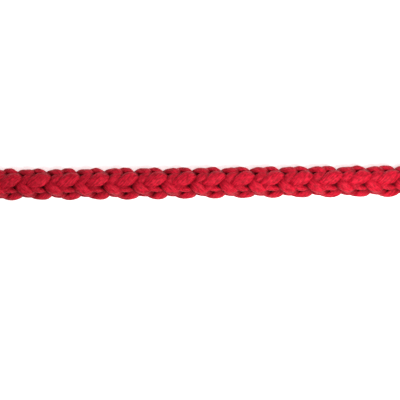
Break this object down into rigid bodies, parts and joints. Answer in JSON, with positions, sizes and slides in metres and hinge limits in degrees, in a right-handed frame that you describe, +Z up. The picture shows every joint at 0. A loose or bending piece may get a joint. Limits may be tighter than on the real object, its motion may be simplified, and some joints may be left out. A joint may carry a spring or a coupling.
{
  "type": "lead rope",
  "caption": "Soft braided lead rope with a swivel bolt snap clamped in its eye, its spare length folded into a tied hank.",
  "frame": {"origin": "on the ground, below the middle of the box that holds the snap, its swivel and the two rope clamps", "axes": "+X from the snap towards the rope's far end, +Z up, with the hook lying flat and opening towards +Y"},
  "size_m": [0.5624, 0.089, 0.0563],
  "materials": {
    "snap_metal": "nickel plate over cast metal, satin",
    "spring_steel": "bright drawn wire",
    "clamp_metal": "zinc plate",
    "rope_red": "soft multi-filament braid",
    "whipping_twine": "waxed twine",
    "melted_end": "melted fibre",
    "tie_webbing": "woven webbing"
  },
  "bodies": {
    "rope": {"rope_lead": "rope_red", "rope_hank": "rope_red", "clamp_front": "clamp_metal", "clamp_rear": "clamp_metal", "tail_whipping": "whipping_twine", "tail_tip": "melted_end", "end_whipping": "whipping_twine", "end_tip": "melted_end", "hank_tie": "tie_webbing", "tie_tab": "tie_webbing"},
    "swivel": {"swivel_ring": "snap_metal", "swivel_head": "snap_metal"},
    "snap": {"snap_body": "snap_metal", "barrel_collar": "snap_metal", "spring_seat": "spring_steel", "bolt_spring": "spring_steel"},
    "bolt": {"snap_bolt": "snap_metal", "thumb_stud": "snap_metal"}
  },
  "joints": [
    {"name": "ring_swing", "type": "hinge", "parent": "rope", "child": "swivel", "pos_m": [0.00925, 0.00882, 0.0111], "axis": [0, 1, 0], "range_deg": [-100, 100]},
    {"name": "snap_spin", "type": "hinge", "parent": "swivel", "child": "snap", "pos_m": [-0.006, 0.00882, 0.0111], "axis": [1, 0, 0], "continuous": true},
    {"name": "bolt_slide", "type": "slide", "parent": "snap", "child": "bolt", "axis": [1, 0, 0], "range_m": [0, 0.012], "stiffness_N_per_m": 350, "springref_m": -0.006, "deforming": ["bolt_spring"]}
  ]
}
